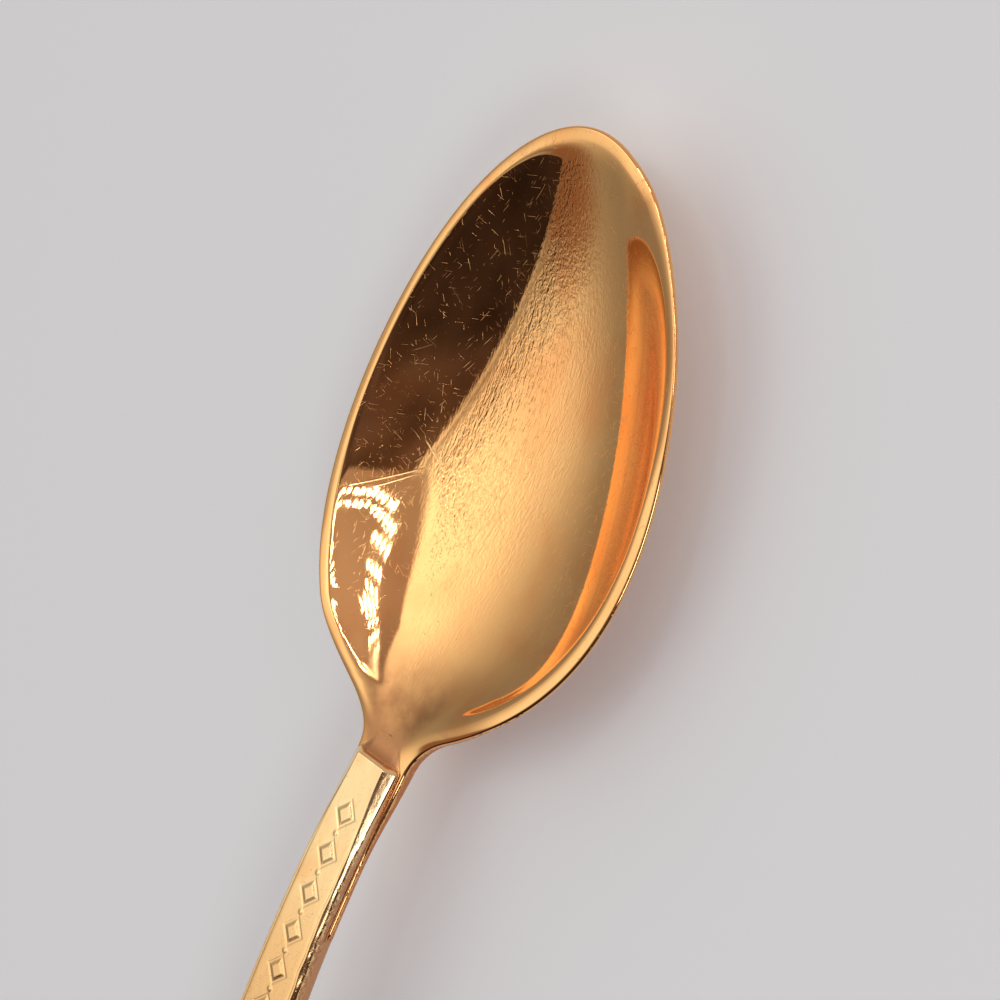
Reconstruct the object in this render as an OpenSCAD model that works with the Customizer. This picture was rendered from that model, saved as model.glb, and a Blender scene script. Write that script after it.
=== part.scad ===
// Teaspoon: a dished bowl with a tongue, an arched handle lapped over that tongue, and the brazed seam.
// X runs along the spoon towards the bowl's tip, Y across it and Z up. It lies on the plane z = 0.

/* [Bowl] */
// Overall length, from the end of the handle to the tip of the bowl
total_length = 140; // [130:1:152]
// Length of the egg-shaped rim, from the tip back to where its sides would close
bowl_length = 46; // [42:0.5:50]
// Width across the rim
bowl_width = 30.3; // [27:0.1:33]
// Depth of the hollow below the level of the tip
bowl_depth = 6.8; // [5.5:0.1:8]
// Dip of the rim's sides below the level of the tip
rim_dip = 1.3; // [0.6:0.1:2]
// Width of the flat land round the rim
rim_land = 1; // [0.8:0.05:1.2]
// Radius on the outer edge of the land
rim_round = 0.25; // [0.15:0.05:0.35]
// Thickness of the sheet in the bowl
sheet = 1; // [0.8:0.05:1.2]
// How much wider the shoulder half of the rim is than the tip half
egg_share = 0.147; // [0.05:0.001:0.22]
// How straight the rim's sides run in towards the shoulders
taper_share = 0.139; // [0:0.001:0.3]
// How far the rim's dip leans towards the handle
lean_share = 0.39; // [0:0.01:0.6]
// Place of the deepest point, from the shoulders to the tip
deepest_share = 0.54; // [0.48:0.01:0.6]
// How much the walls steepen near the rim
wall_share = 0.2; // [0:0.01:0.35]
// How much the floor eases off near the tip
tip_share = 0.05; // [0:0.01:0.2]

/* [Neck] */
// Distance from the shoulders' closing point back to the handle's nose
neck_offset = 2.8; // [2:0.1:4]
// Width of the tongue at the handle's nose
neck_width = 5.36; // [4.9:0.02:6]
// Thickness of the tongue at the handle's nose
neck_sheet = 1.5; // [1.2:0.05:1.8]
// Drop of the tongue below the level of the tip
neck_drop = 1.03; // [0.7:0.01:1.4]
// Distance over which the neck thins to the bowl's sheet
thinning_length = 16; // [12:0.5:18]
// Distance from the closing point at which the rim starts to fall to the neck
shoulder_reach = 6.15; // [5:0.05:8]
// Distance from the nose over which the rim's upright edge gives way to a slanted one
edge_reach = 18; // [14:0.5:20]
// Distance from the closing point at which the egg's sides straighten
flare_start = 1.25; // [0.8:0.05:2]
// Softness of the flare from the shoulders to the neck
flare_blend = 6.8; // [4:0.1:8]

/* [Handle] */
// Width of the handle at its nose
stem_width = 4.6; // [4.2:0.1:4.8]
// Width of the handle at its broad end
end_width = 11; // [9:0.5:13]
// Length of the rounded end
end_round = 9; // [6:0.5:10]
// Thickness at the broad end
end_thickness = 1.5; // [1.3:0.05:1.8]
// Length of the flat pad under the broad end
pad_length = 10; // [8:0.5:12]
// Steepness of the handle as it leaves the neck
rise_share = 0.19; // [0.12:0.01:0.26]
// Length of the arch, out of the handle's length
arch_share = 0.55; // [0.45:0.01:0.6]
// Length of the reversed curve that meets the pad, out of the handle's length
foot_share = 0.15; // [0.1:0.01:0.2]
// Width of the bevel along each top edge
bevel_width = 0.45; // [0.3:0.05:0.6]
// Drop of that bevel
bevel_drop = 0.42; // [0.36:0.02:0.46]
// Radius along each lower edge
edge_round = 0.6; // [0.4:0.05:0.7]
// Radius on the top of the nose
nose_round = 0.34; // [0.2:0.02:0.34]
// Rounding of the nose's two corners, seen from above
nose_corner = 0.5; // [0.3:0.05:0.6]

/* [Joint] */
// Length of the lap behind the nose
lap_length = 14; // [10:0.5:18]
// Thickness of the handle over the tongue at the nose
lap_cover = 0.85; // [0.8:0.01:1]
// Steepness of the lap's plane
lap_rise_share = 0.11; // [0.09:0.01:0.13]
// Thickness of the braze in the lap
braze_film = 0.08; // [0.05:0.01:0.12]
// Width of the brazed seam
braze_width = 3.5; // [2.6:0.1:3.5]
// Reach of the bead in front of the nose
bead_length = 0.7; // [0.4:0.05:1]
// Height of the bead on the nose
bead_height = 0.5; // [0.3:0.02:0.5]
// Slant of the rebate's back face, which the braze fills
wedge_length = 0.06; // [0.04:0.01:0.1]
// Radius along the handle's edges in the lap
seam_round = 0.12; // [0.06:0.02:0.16]
// Length over which the tongue's ledge beside the handle fades out
ledge_length = 8; // [5:0.5:10]

/* [Smoothness] */
// Rows along the tongue
tongue_rows = 6; // [4:1:10]
// Rows through the shoulders
shoulder_rows = 15; // [10:1:18]
// Rows along the bowl
bowl_rows = 24; // [16:1:28]
// Rows round the tip
tip_rows = 16; // [10:1:18]
// Points from the middle of the bowl to its rim
across_rows = 11; // [8:1:12]
// Rows along the handle
handle_rows = 44; // [30:1:60]
// Rows round the handle's end
end_rows = 12; // [8:1:20]
// Steps in the hollow of the braze's bead
bead_rows = 6; // [3:1:12]

/* [Hidden] */
copper = [0.86, 0.53, 0.31];
pale_copper = [0.89, 0.62, 0.40];
braze_gold = [0.80, 0.60, 0.32];

// Places along the spoon
tip_x = total_length / 2;
end_x = -total_length / 2;
egg_x = tip_x - bowl_length;
nose_x = egg_x - neck_offset;
lap_x = nose_x - lap_length;
bead_x = nose_x + bead_length;
shoulder_x = egg_x + shoulder_reach;
middle_x = egg_x + bowl_length / 2;
deepest_x = egg_x + bowl_length * deepest_share;
floor_tip_x = tip_x - rim_land;
fan_angle = 60;

// Levels
tip_z = sheet + bowl_depth;
lap_z = tip_z - neck_drop;
top_z = lap_z + braze_film + lap_cover;
neck_thickness = lap_cover + braze_film + neck_sheet;

// The handle's side view: an arch, a straight, a reversed curve and the pad
handle_length = nose_x - end_x;
arch_length = handle_length * arch_share;
foot_length = handle_length * foot_share;
straight_length = handle_length - arch_length - foot_length - pad_length;
half_curves = (arch_length + foot_length) / 2;
fall_share = (top_z - end_thickness + rise_share * arch_length / 2) / (half_curves + straight_length);
foot_start = arch_length + straight_length;
pad_start = foot_start + foot_length;
arch_end_z = top_z + (rise_share - fall_share) * arch_length / 2;
thinning_power = 1.3;

// Small step for reading slopes off a surface
slope_step = sheet / 100;

function unit(v) = v / norm(v);
function clamp(t) = min(1, max(0, t));
function ease(t) = clamp(t) * clamp(t) * (3 - 2 * clamp(t));
function blend(a, b, t) = a + (b - a) * t;

// The larger of two widths, with their crossing rounded off
function soft_max(a, b, r) =
    let (h = max(0, r - abs(a - b)))
    max(a, b) + h * h / (4 * r);

// A cubic from level a with slope u to level b with slope v, over a run
function cubic(t, run, a, u, b, v) =
    let (s = t / run)
    a * (1 + 2 * s) * (1 - s) * (1 - s)
    + u * t * (1 - s) * (1 - s)
    + b * s * s * (3 - 2 * s)
    + v * t * s * (s - 1);

// The handle's top, at a distance back from the nose
function top_level(s) =
    s < arch_length ? top_z + rise_share * s - (rise_share + fall_share) * s * s / (2 * arch_length)
    : s < foot_start ? arch_end_z - fall_share * (s - arch_length)
    : s < pad_start ? end_thickness + fall_share * (pad_start - s) * (pad_start - s) / (2 * foot_length)
    : end_thickness;

// The handle thins towards the pad, and widens towards its end
function handle_thickness(s) =
    end_thickness + (neck_thickness - end_thickness) * pow(1 - clamp(s / pad_start), thinning_power);
function handle_under(s) = top_level(s) - handle_thickness(s);
function handle_half(s) =
    let (grow = clamp(s / (handle_length - end_round)))
    blend(stem_width, end_width, sin(90 * grow * grow)) / 2;

// The plane on which the handle lies
function lap_level(x) = lap_z - lap_rise_share * (x - nose_x);

// The tongue's half width: a ledge at the nose that fades until the tongue is flush with the handle
function neck_half(x) =
    let (s = max(0, nose_x - x))
    handle_half(s) + (neck_width - stem_width) / 2 * (1 - ease(s / ledge_length));

// The egg-shaped outline, set in by an inset all round; angle 0 is the tip
egg_peak = 1 + egg_share * egg_share / 2;
function egg_half(angle, inset) =
    let (narrowing = 1 + taper_share * pow(min(0, cos(angle)), 2))
    (bowl_width / 2 / egg_peak - inset) * pow(sin(angle), narrowing) * (1 - egg_share * cos(angle));
function egg_place(angle, inset) = egg_x + inset + (bowl_length / 2 - inset) * (1 + cos(angle));
function egg_angle(x, inset) = acos(2 * clamp((x - egg_x - inset) / (bowl_length - 2 * inset)) - 1);

// Half width of the outline at a place along the spoon, with the sides flared into the neck
function outline_half(x, inset) =
    let (bend_x = egg_x + inset + flare_start)
    let (at_bend = egg_half(egg_angle(bend_x, inset), inset))
    let (past_bend = egg_half(egg_angle(bend_x + slope_step, inset), inset))
    let (run_in = at_bend + (x - bend_x) * (past_bend - at_bend) / slope_step)
    let (side = x > bend_x ? egg_half(egg_angle(x, inset), inset) : run_in)
    x > middle_x ? side : soft_max(side, neck_half(x) - inset, flare_blend);

// Height of the rim: level with the lap at the neck, up to the shoulders, then dipping on the way to the tip
function rim_level(x) =
    let (run = tip_x - shoulder_x)
    let (t = (x - shoulder_x) / run)
    let (first_slope = -4 * rim_dip * (1 + lean_share) / run)
    x <= bead_x ? lap_level(x)
    : x < shoulder_x
    ? cubic(x - bead_x, shoulder_x - bead_x, lap_level(bead_x), -lap_rise_share, tip_z, first_slope)
    : tip_z - 4 * rim_dip * t * (1 - t) * (1 + lean_share * (1 - 2 * t));

// Height of the floor along the middle: down from the lap to the deepest point, then up to the tip
function floor_part(x) = (x - deepest_x) / (floor_tip_x - deepest_x);
function floor_level(x) =
    let (u = floor_part(x))
    let (rise = rim_level(floor_tip_x) - sheet)
    x <= bead_x ? lap_level(x)
    : x < deepest_x
    ? cubic(x - bead_x, deepest_x - bead_x, lap_level(bead_x), -lap_rise_share, sheet, 0)
    : sheet + rise * u * u * (1 + tip_share - tip_share * u * u);

// The hollow itself
function hollow(x, y) =
    let (low = floor_level(x))
    let (wide = max(outline_half(x, rim_land), slope_step))
    let (part = y * y / (wide * wide))
    let (steep = wall_share * (1 - pow(clamp(floor_part(x)), 2)))
    x <= bead_x ? lap_level(x)
    : low + (rim_level(x) - low) * part * (1 - steep + steep * part);

// Thickness of the sheet: the tongue's own, thinning out through the neck
function bowl_sheet(x) =
    x < nose_x ? lap_level(x) - handle_under(nose_x - x)
    : blend(neck_sheet, sheet, ease((x - nose_x) / thinning_length));

// Direction in which the thickness is measured: upright in the tongue, square to the hollow in the bowl
function square_to(x, y) =
    let (share = ease((x - nose_x) / thinning_length))
    let (along = (hollow(x + slope_step, y) - hollow(x - slope_step, y)) / (2 * slope_step))
    let (over = (hollow(x, y + slope_step) - hollow(x, y - slope_step)) / (2 * slope_step))
    unit([-along * share, -over * share, 1]);
function outside(x, y) = [x, y, hollow(x, y)] - bowl_sheet(x) * square_to(x, y);

// One line of the bowl, from the middle of the hollow over the rim to the middle of the back
function bowl_line(spine_x, inner, outer) =
    let (out = unit(outer - inner))
    let (rim_z = rim_level(outer[0]))
    let (back = outside(inner[0], inner[1]))
    let (upright = 1 - ease((outer[0] - nose_x) / edge_reach))
    let (edge_top = [outer[0], outer[1], rim_z - rim_round])
    let (corner = [for (a = [0, 45, 90]) edge_round * [1 - cos(a), 1 - sin(a)]])
    [
        for (i = [0 : across_rows])
            let (p = [blend(spine_x, inner[0], i / across_rows), inner[1] * i / across_rows])
            [p[0], p[1], hollow(p[0], p[1])],
        for (a = [0, 45])
            let (p = outer - out * rim_round * (1 - sin(a)))
            [p[0], p[1], rim_z - rim_round * (1 - cos(a))],
        edge_top,
        for (i = [0 : 2])
            let (p = outer - out * corner[i][0])
            blend(blend(edge_top, back, (i + 1) / 4), [p[0], p[1], back[2] + corner[i][1]], upright),
        for (i = [across_rows : -1 : 0])
            outside(blend(spine_x, inner[0], i / across_rows), inner[1] * i / across_rows)
    ];

// Places of the lines along the bowl, from the tongue's end to the start of the fan round the tip
fan_x = egg_place(fan_angle, 0);
bowl_places = concat(
    [for (i = [0 : tongue_rows]) blend(lap_x, nose_x, i / tongue_rows)],
    [for (i = [0 : shoulder_rows]) blend(bead_x, shoulder_x, i / shoulder_rows)],
    [for (i = [1 : bowl_rows]) blend(shoulder_x, fan_x, i / bowl_rows)]
);

// The land runs square to the outline in the bowl, and straight across in the tongue
function land_shift(x) =
    -rim_land * cos(egg_angle(x, 0)) * ease((x - egg_x - flare_start) / shoulder_reach);

bowl_half = concat(
    [for (x = bowl_places)
        let (in_x = x + land_shift(x))
        bowl_line(in_x, [in_x, -outline_half(in_x, rim_land)], [x, -outline_half(x, 0)])],
    [for (i = [1 : tip_rows])
        let (a = fan_angle * (1 - i / tip_rows))
        bowl_line(
            egg_place(fan_angle, rim_land),
            [egg_place(a, rim_land), -egg_half(a, rim_land)],
            [egg_place(a, 0), -egg_half(a, 0)]
        )]
);

// One line of the handle, from the middle of its top over the edge to the middle of its back
function handle_line(spine_x, outer, top, bevel_z, under, low_round) =
    let (middle = [spine_x, 0])
    let (out = unit(outer - middle))
    let (flat = outer - out * bevel_width)
    [
        [spine_x, 0, top],
        [flat[0], flat[1], top],
        [outer[0], outer[1], bevel_z],
        for (a = [0, 30, 60, 90])
            let (p = outer - out * low_round * (1 - cos(a)))
            [p[0], p[1], under + low_round * (1 - sin(a))],
        [spine_x, 0, under]
    ];

// Places of the lines along the handle, each with its distance back from the nose
rebate_end = lap_length + braze_film;
rebate_back = rebate_end + wedge_length;
fan_start = handle_length - end_round;
handle_places = concat(
    [for (i = [0 : tongue_rows]) blend(nose_round, rebate_end, i / tongue_rows)],
    [for (i = [0 : handle_rows]) blend(rebate_back, fan_start, i / handle_rows)]
);

// In the lap the handle's underside is the rebate over the braze
function handle_low(s) = s <= rebate_end ? lap_level(nose_x - s) + braze_film : handle_under(s);
function low_edge(s) = s <= rebate_end ? seam_round : edge_round;

function nose_line(a) =
    let (s = nose_round * (1 - cos(a)))
    let (x = nose_x - s)
    let (half = handle_half(s) - nose_corner * (1 - sin(a)))
    let (top = top_level(s) - nose_round * (1 - sin(a)))
    handle_line(x, [x, half], top, top_level(s) - bevel_drop, handle_low(s), seam_round);
function stem_line(s) =
    let (x = nose_x - s)
    handle_line(x, [x, handle_half(s)], top_level(s), top_level(s) - bevel_drop, handle_low(s), low_edge(s));
function end_line(a) =
    let (spine_x = end_x + end_round)
    let (outer = [spine_x - end_round * cos(a), sin(a) * end_width / 2])
    let (top = top_level(nose_x - outer[0]))
    handle_line(spine_x, outer, top, top - bevel_drop, top - end_thickness, edge_round);

handle_half_lines = concat(
    [for (a = [0, 30, 60]) nose_line(a)],
    [for (s = handle_places) stem_line(s)],
    [for (i = [1 : end_rows]) end_line(90 * (1 - i / end_rows))]
);

// A closed skin over half lines and their mirror images, with a fan of a number of lines at the far end
module skin(half_lines, fan_rows) {
    last = len(half_lines) - 1;
    spines = last - fan_rows;
    width = len(half_lines[0]);
    inner = width - 2;
    lines = concat(
        half_lines,
        [for (j = [last - 1 : -1 : 0]) [for (p = half_lines[j]) [p[0], -p[1], p[2]]]]
    );
    rim_start = 2 * (spines + 1);
    cap = rim_start + len(lines) * inner;
    points = concat(
        [for (j = [0 : spines]) half_lines[j][0]],
        [for (j = [0 : spines]) half_lines[j][width - 1]],
        [for (line = lines) for (k = [1 : inner]) line[k]],
        [(half_lines[0][0] + half_lines[0][width - 1]) / 2]
    );
    function spine_of(j) = min(spines, j <= last ? j : 2 * last - j);
    function at(j, k) =
        k == 0 ? spine_of(j)
        : k == width - 1 ? spines + 1 + spine_of(j)
        : rim_start + j * inner + k - 1;
    sides = [
        for (j = [0 : len(lines) - 2])
            for (k = [0 : width - 2])
                let (a = at(j, k), b = at(j + 1, k), c = at(j + 1, k + 1), d = at(j, k + 1))
                for (face = [[a, b, c], [a, c, d]])
                    if (face[0] != face[1] && face[1] != face[2]) face
    ];
    far = len(lines) - 1;
    ends = [
        for (k = [0 : width - 2]) [cap, at(0, k), at(0, k + 1)],
        for (k = [0 : width - 2]) [cap, at(far, k + 1), at(far, k)]
    ];
    polyhedron(points = points, faces = concat(sides, ends));
}

module bowl() {
    color(copper) skin(bowl_half, tip_rows);
}

module handle() {
    color(pale_copper) skin(handle_half_lines, end_rows);
}

// The braze: a hollow bead before the nose, a film in the lap and a wedge behind the tongue's end
module braze() {
    film_end = nose_x - rebate_end;
    wedge_end = nose_x - rebate_back;
    bead = [
        for (i = [0 : bead_rows])
            let (t = i / bead_rows)
            let (x = blend(bead_x, nose_x, t))
            [x, lap_level(x) + bead_height * t * t]
    ];
    color(braze_gold)
        rotate([90, 0, 0])
            linear_extrude(height = braze_width, center = true)
                polygon(concat(bead, [
                    [nose_x, lap_level(nose_x) + braze_film],
                    [film_end, lap_level(film_end) + braze_film],
                    [wedge_end, handle_under(rebate_back)],
                    [lap_x, handle_under(lap_length)],
                    [lap_x, lap_level(lap_x)]
                ]));
}

bowl();
handle();
braze();
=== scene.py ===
"""Teaspoon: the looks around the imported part.

The bowl, the handle and the brazed seam are rebuilt as fine smooth meshes from the same formulas as the
solids, with soft edges, a row of small raised ornaments on the handle and a rough sheared edge at the neck.
"""
import math

import bpy
import numpy as np
from mathutils import Matrix, Vector, noise


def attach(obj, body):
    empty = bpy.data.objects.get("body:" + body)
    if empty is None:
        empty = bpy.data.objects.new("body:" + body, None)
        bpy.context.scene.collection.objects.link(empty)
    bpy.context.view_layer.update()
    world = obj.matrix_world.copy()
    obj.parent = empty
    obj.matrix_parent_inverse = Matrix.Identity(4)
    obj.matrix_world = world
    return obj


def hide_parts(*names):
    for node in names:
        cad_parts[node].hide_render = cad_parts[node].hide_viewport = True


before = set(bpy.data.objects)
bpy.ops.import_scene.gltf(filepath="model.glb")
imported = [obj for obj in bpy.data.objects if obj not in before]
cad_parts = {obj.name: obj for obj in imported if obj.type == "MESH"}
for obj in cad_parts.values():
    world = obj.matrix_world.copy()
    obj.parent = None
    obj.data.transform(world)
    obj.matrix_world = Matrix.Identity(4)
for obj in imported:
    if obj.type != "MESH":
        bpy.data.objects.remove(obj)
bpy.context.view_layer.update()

MM = 0.001

# Sizes of the spoon in millimetres and shares, as in the solids
TOTAL_LENGTH, BOWL_LENGTH, BOWL_WIDTH, BOWL_DEPTH = 140.0, 46.0, 30.3, 6.8
RIM_DIP, RIM_LAND, RIM_ROUND, SHEET = 1.3, 1.0, 0.25, 1.0
EGG_SHARE, TAPER_SHARE, LEAN_SHARE, DEEPEST_SHARE = 0.147, 0.139, 0.39, 0.54
WALL_SHARE, TIP_SHARE = 0.2, 0.05
NECK_OFFSET, NECK_WIDTH, NECK_SHEET, NECK_DROP, THINNING_LENGTH = 2.8, 5.36, 1.5, 1.03, 16.0
SHOULDER_REACH, EDGE_REACH, FLARE_START, FLARE_BLEND = 6.15, 18.0, 1.25, 6.8
STEM_WIDTH, END_WIDTH, END_ROUND, END_THICKNESS, PAD_LENGTH = 4.6, 11.0, 9.0, 1.5, 10.0
RISE_SHARE, ARCH_SHARE, FOOT_SHARE, THINNING_POWER = 0.19, 0.55, 0.15, 1.3
BEVEL_WIDTH, BEVEL_DROP, EDGE_ROUND, NOSE_ROUND, NOSE_CORNER = 0.45, 0.42, 0.6, 0.34, 0.5
LAP_LENGTH, LAP_COVER, LAP_RISE_SHARE, BRAZE_FILM, FILM_INSET = 14.0, 0.85, 0.11, 0.08, 0.1
BEAD_LENGTH, BEAD_HEIGHT, WEDGE_LENGTH, SEAM_ROUND, LEDGE_LENGTH = 0.7, 0.5, 0.06, 0.12, 8.0

# Places along the spoon and levels
TIP_X = TOTAL_LENGTH / 2
END_X = -TOTAL_LENGTH / 2
EGG_X = TIP_X - BOWL_LENGTH
NOSE_X = EGG_X - NECK_OFFSET
LAP_X = NOSE_X - LAP_LENGTH
BEAD_X = NOSE_X + BEAD_LENGTH
SHOULDER_X = EGG_X + SHOULDER_REACH
MIDDLE_X = EGG_X + BOWL_LENGTH / 2
DEEPEST_X = EGG_X + BOWL_LENGTH * DEEPEST_SHARE
FLOOR_TIP_X = TIP_X - RIM_LAND
TIP_Z = SHEET + BOWL_DEPTH
LAP_Z = TIP_Z - NECK_DROP
TOP_Z = LAP_Z + BRAZE_FILM + LAP_COVER
NECK_THICKNESS = LAP_COVER + BRAZE_FILM + NECK_SHEET
HANDLE_LENGTH = NOSE_X - END_X
ARCH_LENGTH = HANDLE_LENGTH * ARCH_SHARE
FOOT_LENGTH = HANDLE_LENGTH * FOOT_SHARE
STRAIGHT_LENGTH = HANDLE_LENGTH - ARCH_LENGTH - FOOT_LENGTH - PAD_LENGTH
FALL_SHARE = (TOP_Z - END_THICKNESS + RISE_SHARE * ARCH_LENGTH / 2) / (
    (ARCH_LENGTH + FOOT_LENGTH) / 2 + STRAIGHT_LENGTH
)
FOOT_START = ARCH_LENGTH + STRAIGHT_LENGTH
PAD_START = FOOT_START + FOOT_LENGTH
ARCH_END_Z = TOP_Z + (RISE_SHARE - FALL_SHARE) * ARCH_LENGTH / 2
EGG_PEAK = 1 + EGG_SHARE**2 / 2
FAN_ANGLE = math.radians(60)
SLOPE_STEP = SHEET / 100
LEAST_HALF = RIM_LAND / 2


# Shape formulas
def clamp(t):
    return np.clip(t, 0.0, 1.0)


def ease(t):
    t = clamp(t)
    return t * t * (3 - 2 * t)


def mix(a, b, t):
    return a + (b - a) * t


def soft_max(a, b, r):
    h = np.maximum(0, r - np.abs(a - b))
    return np.maximum(a, b) + h * h / (4 * r)


def cubic(t, run, a, u, b, v):
    """A curve over a run, from the height a with the slope u to the height b with the slope v."""
    s = t / run
    heights = a * (1 + 2 * s) * (1 - s) ** 2 + b * s * s * (3 - 2 * s)
    return heights + u * t * (1 - s) ** 2 + v * t * s * (s - 1)


def top_level(s):
    """Height of the handle's top, at a distance back from the nose."""
    s = np.asarray(s, float)
    arch = TOP_Z + RISE_SHARE * s - (RISE_SHARE + FALL_SHARE) * s * s / (2 * ARCH_LENGTH)
    line = ARCH_END_Z - FALL_SHARE * (s - ARCH_LENGTH)
    foot = END_THICKNESS + FALL_SHARE * (PAD_START - s) ** 2 / (2 * FOOT_LENGTH)
    low = np.where(s < PAD_START, foot, END_THICKNESS)
    return np.where(s < ARCH_LENGTH, arch, np.where(s < FOOT_START, line, low))


def handle_under(s):
    thin = (1 - clamp(np.asarray(s, float) / PAD_START)) ** THINNING_POWER
    return top_level(s) - END_THICKNESS - (NECK_THICKNESS - END_THICKNESS) * thin


def handle_half(s):
    grow = clamp(np.asarray(s, float) / (HANDLE_LENGTH - END_ROUND))
    return mix(STEM_WIDTH, END_WIDTH, np.sin(math.pi / 2 * grow * grow)) / 2


def lap_level(x):
    return LAP_Z - LAP_RISE_SHARE * (np.asarray(x, float) - NOSE_X)


def neck_half(x):
    s = np.maximum(0, NOSE_X - np.asarray(x, float))
    return handle_half(s) + (NECK_WIDTH - STEM_WIDTH) / 2 * (1 - ease(s / LEDGE_LENGTH))


def egg_half(angle, inset):
    c = np.cos(angle)
    narrowing = 1 + TAPER_SHARE * np.minimum(0, c) ** 2
    oval = np.maximum(np.sin(angle), 0) ** narrowing
    return (BOWL_WIDTH / 2 / EGG_PEAK - inset) * oval * (1 - EGG_SHARE * c)


def egg_place(angle, inset):
    return EGG_X + inset + (BOWL_LENGTH / 2 - inset) * (1 + np.cos(angle))


def egg_angle(x, inset):
    return np.arccos(2 * clamp((np.asarray(x, float) - EGG_X - inset) / (BOWL_LENGTH - 2 * inset)) - 1)


def outline_half(x, inset):
    """Half width of the outline, with the sides flared into the neck."""
    x = np.asarray(x, float)
    bend_x = EGG_X + inset + FLARE_START
    at_bend = egg_half(egg_angle(bend_x, inset), inset)
    past_bend = egg_half(egg_angle(bend_x + SLOPE_STEP, inset), inset)
    run_in = at_bend + (x - bend_x) * (past_bend - at_bend) / SLOPE_STEP
    side = np.where(x > bend_x, egg_half(egg_angle(x, inset), inset), run_in)
    return np.where(x > MIDDLE_X, side, soft_max(side, neck_half(x) - inset, FLARE_BLEND))


def rim_level(x):
    x = np.asarray(x, float)
    run = TIP_X - SHOULDER_X
    t = (x - SHOULDER_X) / run
    first_slope = -4 * RIM_DIP * (1 + LEAN_SHARE) / run
    ramp = cubic(x - BEAD_X, SHOULDER_X - BEAD_X, lap_level(BEAD_X), -LAP_RISE_SHARE, TIP_Z, first_slope)
    bow = TIP_Z - 4 * RIM_DIP * t * (1 - t) * (1 + LEAN_SHARE * (1 - 2 * t))
    return np.where(x <= BEAD_X, lap_level(x), np.where(x < SHOULDER_X, ramp, bow))


def floor_part(x):
    return (np.asarray(x, float) - DEEPEST_X) / (FLOOR_TIP_X - DEEPEST_X)


def floor_level(x):
    x = np.asarray(x, float)
    u = floor_part(x)
    rise = rim_level(FLOOR_TIP_X) - SHEET
    down = cubic(x - BEAD_X, DEEPEST_X - BEAD_X, lap_level(BEAD_X), -LAP_RISE_SHARE, SHEET, 0)
    up = SHEET + rise * u * u * (1 + TIP_SHARE - TIP_SHARE * u * u)
    return np.where(x <= BEAD_X, lap_level(x), np.where(x < DEEPEST_X, down, up))


def hollow(x, y):
    """Height of the inside of the bowl."""
    x = np.asarray(x, float)
    low = floor_level(x)
    wide = np.maximum(outline_half(x, RIM_LAND), LEAST_HALF)
    part = y * y / (wide * wide)
    steep = WALL_SHARE * (1 - clamp(floor_part(x)) ** 2)
    wall = low + (rim_level(x) - low) * part * (1 - steep + steep * part)
    return np.where(x <= BEAD_X, lap_level(x), wall)


def bowl_sheet(x):
    tongue = lap_level(x) - handle_under(NOSE_X - x)
    return np.where(x < NOSE_X, tongue, mix(NECK_SHEET, SHEET, ease((x - NOSE_X) / THINNING_LENGTH)))


def outside(x, y):
    """The point of the bowl's back that lies under a point of the hollow."""
    share = ease((x - NOSE_X) / THINNING_LENGTH)
    along = (hollow(x + SLOPE_STEP, y) - hollow(x - SLOPE_STEP, y)) / (2 * SLOPE_STEP)
    over = (hollow(x, y + SLOPE_STEP) - hollow(x, y - SLOPE_STEP)) / (2 * SLOPE_STEP)
    square = np.stack([-along * share, -over * share, np.ones_like(along)], -1)
    square /= np.linalg.norm(square, axis=-1, keepdims=True)
    return np.stack([x, y, hollow(x, y)], -1) - bowl_sheet(x)[..., None] * square


def wobble(place, pitch, seed):
    """Smooth noise along a line, from -1 to 1, with waves of about that pitch."""
    return noise.noise(Vector((place / pitch, seed, 0)))


def soft_min(a, b, r):
    return -soft_max(-a, -b, r)


# Softening sets in over this many reaches from the ends of a line
SOFTEN_START = 3


def soften(line, reach):
    """A line of points, rounded off over a reach that is given for each point; its two ends stay."""
    steps = np.linalg.norm(np.diff(line, axis=0), axis=1)
    along = np.concatenate([[0], np.cumsum(steps)])
    share = np.gradient(along)
    width = np.maximum(reach, SLOPE_STEP)[:, None]
    weight = np.exp(-0.5 * ((along[None] - along[:, None]) / width) ** 2) * share[None]
    smooth = (weight @ line) / weight.sum(1, keepdims=True)
    to_end = np.minimum(along, along[-1] - along)
    softened = ease(to_end / (SOFTEN_START * width[:, 0]))[:, None]
    return mix(line, smooth, softened)


def add_mesh(name, points, faces):
    mesh = bpy.data.meshes.new(name)
    mesh.from_pydata((np.asarray(points) * MM).tolist(), [], faces)
    mesh.update()
    piece = bpy.data.objects.new(name, mesh)
    bpy.context.scene.collection.objects.link(piece)
    return piece


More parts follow.
